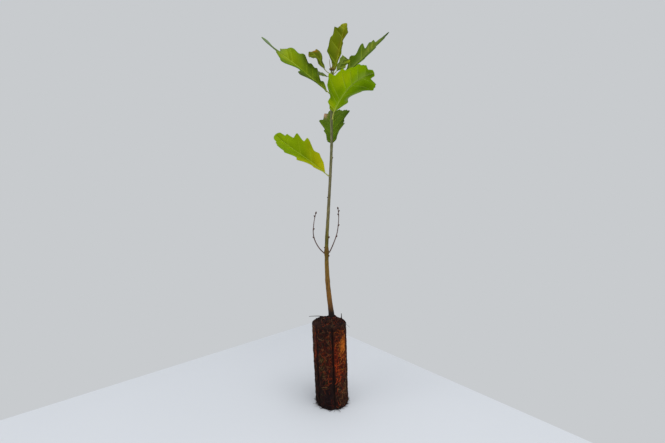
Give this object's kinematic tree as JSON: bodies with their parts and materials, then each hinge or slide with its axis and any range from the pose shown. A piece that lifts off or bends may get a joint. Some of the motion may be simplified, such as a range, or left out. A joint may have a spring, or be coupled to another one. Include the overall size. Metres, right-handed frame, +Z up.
{
  "type": "sessile oak sapling",
  "caption": "Young sessile oak with a slender stem, lobed leaves and bare side twigs, standing on its bare root ball of peat, ready to plant out.",
  "frame": {"origin": "centre of the root ball's flat underside, which stands on the surface", "axes": "+Z up along the stem, +X to the right of the viewed side, -Y towards the viewer"},
  "size_m": [0.1771, 0.096, 0.5471],
  "materials": {
    "peat": "dark fibrous peat bound by fine roots, matt",
    "bark": "smooth olive-brown young bark, satin",
    "twig": "purple-grey twigs and brown bud scales, satin",
    "leaf": "yellow-green leaf, waxy above and paler beneath",
    "young_leaf": "olive young leaf tinged reddish brown"
  },
  "bodies": {
    "root": {"root_ball": "peat", "stem": "bark", "twig_left": "twig", "twig_right": "twig", "tip_buds": "twig", "leaf_lower": "leaf", "leaf_back": "leaf", "leaf_front": "leaf", "leaf_left": "leaf", "leaf_right": "leaf", "leaf_top": "young_leaf", "leaf_young_left": "young_leaf", "leaf_young_right": "young_leaf", "leaf_bud": "young_leaf"}
  },
  "joints": []
}
